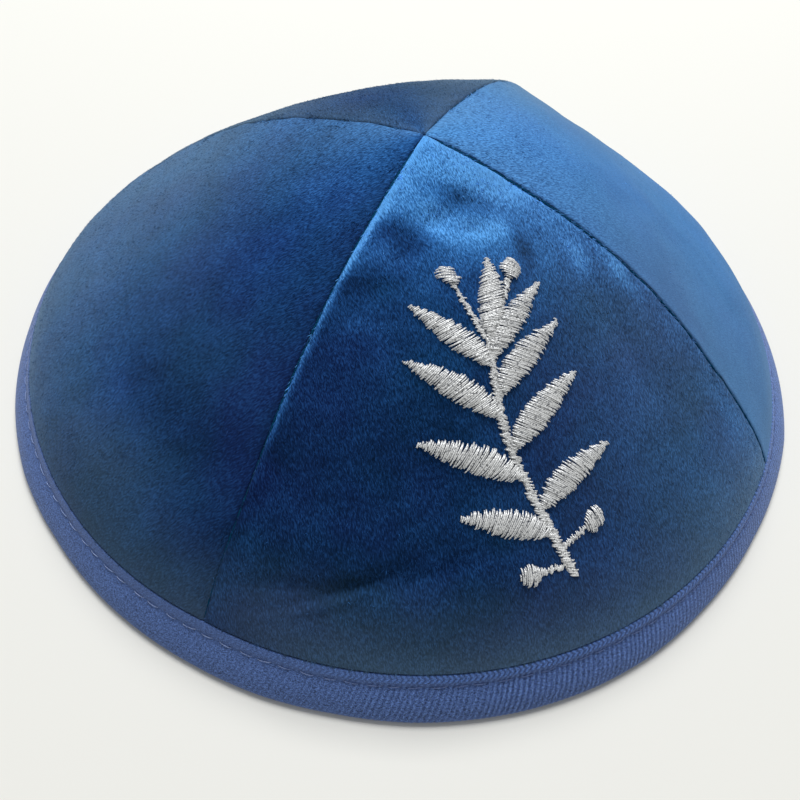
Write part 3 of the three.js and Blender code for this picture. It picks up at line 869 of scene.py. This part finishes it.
def rimRibbon():
    rows = ringSection()
    columns = binding["ribs"] * binding["perRib"]
    piece, column, row = grid("rimRibbon", columns, len(rows))
    column, row = column % columns, row % len(rows)
    turn = 4 * np.arange(columns) / columns
    rib = np.arange(columns) / binding["perRib"]
    sway = (0.35 * np.sin(rib * 0.71) + 0.3 * np.sin(rib * 0.23 + 1)) * 0.3
    uneven = 1 + 0.25 * np.sin(rib * 0.37) * np.sin(rib * 0.117 + 2)
    crisp, bulge, shine = [np.interp(turn, binding["turns"], binding[key])
                           for key in ("crisp", "bulges", "shine")]
    pocketTop, pocketFoot = binding["pocket"]
    table = np.zeros((len(rows), columns, 3))
    rise, edge = np.zeros((len(rows), columns)), np.zeros((len(rows), columns))
    for index, (kind, value, depth) in enumerate(rows):
        toTop = binding["outsideReach"] - value
        # the ribs slant a little up the ribbon, and sweep back at the fold
        slant = binding["slant"] * min(value, binding["outsideReach"] - binding["selvage"])
        slant = slant - binding["footSweep"] * max(0, 1 - value / binding["footReach"]) ** 2
        wave = 0.5 + 0.5 * np.cos(2 * np.pi * (rib + sway))
        wave = 0.5 + (wave - 0.5) * crisp * uneven
        ribbed = depth < pocketTop or depth > pocketFoot
        drop = binding["ribDepth"] * (1 - wave) if ribbed else 0 * wave
        if kind == "slope" and depth < 0.0003 and toTop < binding["selvage"]:
            # the knitted edge stands a little proud, in small chevrons
            chevron = abs(toTop - binding["chevronTip"]) / binding["chevronReach"]
            wave = 0.5 + 0.5 * np.cos(2 * np.pi * (rib + chevron + sway))
            wave = 0.5 + (wave - 0.5) * np.minimum(1.8 * crisp, 1)
            drop = binding["selvageDepth"] * (1 - wave) - binding["selvageRise"]
            # the chevrons' crests are painted lighter, as painted highlights
            edge[index] = wave * np.minimum(2 * crisp, 1)
        if kind == "slope" and depth < 0.0001:
            # the top stitches draw the ribbon in
            offLine = (toTop - binding["stitchLine"]) / binding["grooveBreadth"]
            drop = drop + binding["groove"] * np.exp(-offLine ** 2)
        if depth < binding["rollDepth"] and value < binding["rollTop"]:
            share = 1 if kind == "height" else -depth / binding["bulge"]
            drop = drop - binding["bulge"] * share * (bulge - 1)
        # the ribs' crests are painted lighter and their hollows darker, as painted light and shade, plus the
        # painted light round the rim
        rise[index] = np.clip(wave + shine, 0, 1)
        table[index] = ringPlace((turn + slant) % 4, kind, value, depth + drop)
    movePoints(piece, table[row, column])
    piece.data.uv_layers[0].name = "strip"
    paint(piece, "rise", rise[row, column])
    paint(piece, "edge", edge[row, column])
    closeUp(piece)
    dress(piece, grosgrain, "rim_binding")
    return piece


ribbonPiece = rimRibbon()
print("ribbon:", len(ribbonPiece.data.polygons), "faces")


# Stitches: one short length of thread, copied

def threadTemplate(name, sides, steps):
    # one unit long and of radius 1
    bpy.ops.mesh.primitive_circle_add(vertices=sides, radius=1, fill_type="NGON", calc_uvs=True)
    piece = bpy.context.object
    piece.name = piece.data.name = name
    editAll(piece)
    for _ in range(steps):
        bpy.ops.mesh.extrude_region_move(TRANSFORM_OT_translate={"value": (0, 0, 1 / steps)})
    bpy.ops.mesh.select_all(action="SELECT")
    bpy.ops.mesh.normals_make_consistent(inside=False)
    bpy.ops.object.mode_set(mode="OBJECT")
    flat = readPoints(piece)
    around = np.arctan2(flat[:, 1], flat[:, 0]) / (2 * math.pi) + 0.5
    layUv(piece, "ply", np.stack([around, flat[:, 2]], axis=-1))
    bpy.ops.object.shade_smooth()
    return piece


embroidery = dict(
    footAcross=0.545, footUp=0.225, stemHeight=0.043, leafLength=0.019, leafBreadth=0.0052,
    stemBreadth=0.0015, berry=0.0038, stalkBreadth=0.55, rise=0.00065, edgeRise=0.00012,
    sunk=0.00025, fullRise=0.0012, thread=0.00014, pitch=0.0003, jitter=0.00055, shortest=0.00018,
    # stem: sideways and up, shares of its height; leaf: place on the stem, turn, shares of the length and
    # breadth, bow; berry: place on the stem, turn, stalk
    stem=[(0, 0), (-0.07, 0.28), (-0.13, 0.58), (-0.115, 0.84), (-0.085, 1)],
    leaves=[
        (0.16, 56, 0.86, 0.9, 0.12), (0.25, -80, 0.92, 0.94, -0.12), (0.36, 52, 1, 1, 0.12),
        (0.45, -66, 1, 1, -0.12), (0.57, 52, 1, 1, 0.12), (0.65, -50, 1, 1, -0.12),
        (0.79, 50, 0.92, 0.95, 0.11), (0.85, -38, 0.94, 0.92, -0.11), (0.985, -4, 0.88, 0.95, 0.08),
    ],
    berries=[(0.05, 78, 0.26), (0.11, -84, 0.3), (0.92, 24, 0.7), (0.94, -20, 0.72)],
)


def sprigPlace(x, y, rise):
    up = embroidery["footUp"] + y / slopeLength
    across = embroidery["footAcross"] + x / chord("front", up)
    return clothPoint("front", across, up, ripple("front", across, up) - rise)


def turned(way, degrees):
    c, s = math.cos(math.radians(degrees)), math.sin(math.radians(degrees))
    return np.array([way[0] * c - way[1] * s, way[0] * s + way[1] * c])


def satin(line, breadthAt, slant, domed):
    # stitches side by side along a line of points: start, end and height of each
    lengths = lengthsAlong(line)
    count = max(3, int(lengths[-1] / embroidery["pitch"]))
    shares = (np.arange(count) + 0.5) / count
    at = shares * lengths[-1]
    lineAt = lambda where: np.stack([np.interp(where, lengths, line[:, i]) for i in (0, 1)], axis=-1)
    middle = lineAt(at)
    ahead = unit(lineAt(at + embroidery["pitch"]) - lineAt(at - embroidery["pitch"]))
    rows = []
    for share, point, way in zip(shares, middle, ahead):
        half = breadthAt(share) / 2
        if half < embroidery["shortest"]:
            continue
        lean = turned(way, 90 - slant + dice.normal(0, 3))
        reach = half / math.cos(math.radians(slant))
        first = reach + dice.uniform(-0.5, 1) * embroidery["jitter"]
        second = reach + dice.uniform(-0.5, 1) * embroidery["jitter"]
        risen = domed * min(1, half / embroidery["fullRise"])
        rows.append((*(point - lean * second), *(point + lean * first), risen))
    return rows


def sprigStitches():
    stem = smoothCurve(np.array(embroidery["stem"]) * embroidery["stemHeight"], 60)
    count = len(stem) - 1
    stemAt = lambda share: stem[int(round(share * count))]
    stemWay = lambda share: unit(
        stem[min(count, int(share * count) + 2)] - stem[max(0, int(share * count) - 2)])
    rows = satin(stem, lambda share: embroidery["stemBreadth"], 32, 0.7)
    for along, turn, length, breadth, bow in embroidery["leaves"]:
        foot, way, long = stemAt(along), turned(stemWay(along), turn), length * embroidery["leafLength"]
        middle = foot + way * long / 2 + turned(way, -90) * bow * long
        tip = foot + way * long
        share = np.linspace(0, 1, 60)[:, None]
        rib = foot * (1 - share) ** 2 + 2 * middle * share * (1 - share) + tip * share ** 2
        wide = breadth * embroidery["leafBreadth"]
        rows += satin(rib, lambda s: wide * math.sin(math.pi * s ** 0.8), 18 if turn > 0 else -18, 1.0)
    for along, turn, stalk in embroidery["berries"]:
        foot, way = stemAt(along), turned(stemWay(along), turn)
        near = foot + way * stalk * embroidery["leafLength"]
        share = np.linspace(0, 1, 20)[:, None]
        stalkLine = foot + (near + way * embroidery["berry"] / 4 - foot) * share
        body = near + way * embroidery["berry"] * share
        rows += satin(stalkLine, lambda s: embroidery["stalkBreadth"] * embroidery["stemBreadth"], 30, 0.5)
        rows += satin(body, lambda s: 2 * embroidery["berry"] * math.sqrt(s * (1 - s)), 12, 0.9)
    rows = np.array(rows)

    piece = threadTemplate("sprigStitches", 5, 7)
    local = copies(piece, len(rows))
    along = local[..., 2]
    start, end = rows[:, None, 0:2], rows[:, None, 2:4]
    middle = start + (end - start) * along[..., None]
    side = unit(np.stack([-(rows[:, 3] - rows[:, 1]), rows[:, 2] - rows[:, 0]], axis=-1))[:, None, :]
    thick = embroidery["thread"] * dice.uniform(0.85, 1.12, len(rows))[:, None]
    arch = np.sqrt(np.clip(1 - (2 * along - 1) ** 2, 0, 1))
    top = (embroidery["rise"] * rows[:, 4] * dice.uniform(0.85, 1.1, len(rows)))[:, None]
    sunk = embroidery["sunk"]
    rise = -sunk + (sunk + embroidery["edgeRise"]) * np.minimum(arch * 3, 1) + top * arch ** 1.2
    flat = middle + side * (local[..., 0] * thick)[..., None]
    points = sprigPlace(flat[..., 0], flat[..., 1], rise + local[..., 1] * thick * 0.9)
    movePoints(piece, points.reshape(-1, 3))
    paint(piece, "toneAndPaintedLight", np.repeat(dice.uniform(0.72, 1.5, len(rows)), local.shape[1]))
    dress(piece, silverThread, "embroidered_sprig")
    print("embroidery:", len(rows), "stitches")


topStitching = dict(count=136, radius=0.000085, long=0.66, sunk=0.0002, arch=0.00026, tilt=(0.0001, 0.00018))


def topStitches():
    count, radius = topStitching["count"], topStitching["radius"]
    piece = threadTemplate("topStitches", 5, 6)
    local = copies(piece, count)
    step = 4 / count
    starts = np.arange(count) * step + dice.uniform(-0.12, 0.12, count) * step
    share = local[..., 2]
    long = step * (topStitching["long"] + dice.uniform(-0.16, 0.12, count))[:, None]
    turn = starts[:, None] + share * long
    rise = -topStitching["sunk"] + topStitching["arch"] * np.sin(np.pi * share) ** 0.4
    height = rise + local[..., 1] * radius * 0.8
    tilt = dice.normal(*topStitching["tilt"], count)[:, None]
    reach = binding["outsideReach"] - binding["stitchLine"] + local[..., 0] * radius + tilt * (share - 0.5)
    movePoints(piece, ringPlace(turn.ravel(), "slope", reach.ravel(), -height.ravel()))
    # they are painted lighter by the seam between the left and front panels and fainter elsewhere, as
    # painted light, each a little different at random
    faint = 0.35 + 0.65 * smooth(starts % 4, 3, 3.6) + 0.65 * (1 - smooth(starts % 4, -0.1, 0.35))
    paint(piece, "toneAndPaintedLight", np.repeat(np.clip(faint, 0, 1) * dice.uniform(0.7, 1, count), local.shape[1]))
    dress(piece, topThread)


seamSewing = dict(pitch=0.0024, radius=0.00022, arch=0.00012, foot=0.001, overlap=0.09, sinking=0.0002)


def seamStitches():
    perSeam = int(0.905 * slopeLength / seamSewing["pitch"])
    piece = threadTemplate("seamStitches", 5, 5)
    local = copies(piece, perSeam * 4)
    place = np.zeros(local.shape)
    low, overlap = bindingTop + seamSewing["foot"] / slopeLength, seamSewing["overlap"]
    for index, gore in enumerate(gores):
        mine = slice(index * perSeam, (index + 1) * perSeam)
        name = gores[gore]["start"]
        share = local[mine, :, 2]
        stitch = np.arange(perSeam)[:, None] + share * (1 + 2 * overlap) - overlap
        up = low + (0.999 - low) * stitch / perSeam
        firm = firmness(up)
        rise = -0.8 * firm * seams[name]["groove"] + seamSewing["arch"] * np.sin(np.pi * share)
        rise = rise - seams[name]["threadDepth"] - seamSewing["sinking"] * (1 - firm)
        height = rise + local[mine, :, 1] * seamSewing["radius"]
        place[mine] = skin(gore, 0 * up, up) + height[..., None] * mitred(outward(gore, 0 * up, up), name)
        place[mine] += (local[mine, :, 0] * seamSewing["radius"])[..., None] * seamSide(name)
    movePoints(piece, place.reshape(-1, 3))
    paint(piece, "toneAndPaintedLight", np.ones(place.shape[0] * place.shape[1]))
    dress(piece, seamThread)


sprigStitches()
topStitches()
seamStitches()
print("stitches done")


# Floor, light and view

bpy.ops.mesh.primitive_plane_add(size=6, location=(0, 0, 0))
floor = bpy.context.object
floor.name = "floor"
floorPaint = newMaterial("paleTable", sRgb(239, 239, 234)[:3], 0.7, specular=0.2)[0]
floor.data.materials.append(floorPaint)

window = dict(location=(0.24, 0.65, 1.28), size=0.8, power=20.3)

bpy.ops.object.light_add(type="AREA", location=window["location"])
lamp = bpy.context.object
lamp.name = "behind"
lamp.data.size = window["size"]
lamp.data.energy = window["power"]
lamp.rotation_euler = (-Vector(window["location"])).to_track_quat("-Z", "Y").to_euler()

world = bpy.data.worlds.new("studio")
world.use_nodes = True
world.node_tree.nodes["Background"].inputs["Color"].default_value = (1.0, 1.0, 0.985, 1)
world.node_tree.nodes["Background"].inputs["Strength"].default_value = 0.29
bpy.context.scene.world = world
bpy.context.scene.view_settings.view_transform = "Standard"
print("floor and lights placed")
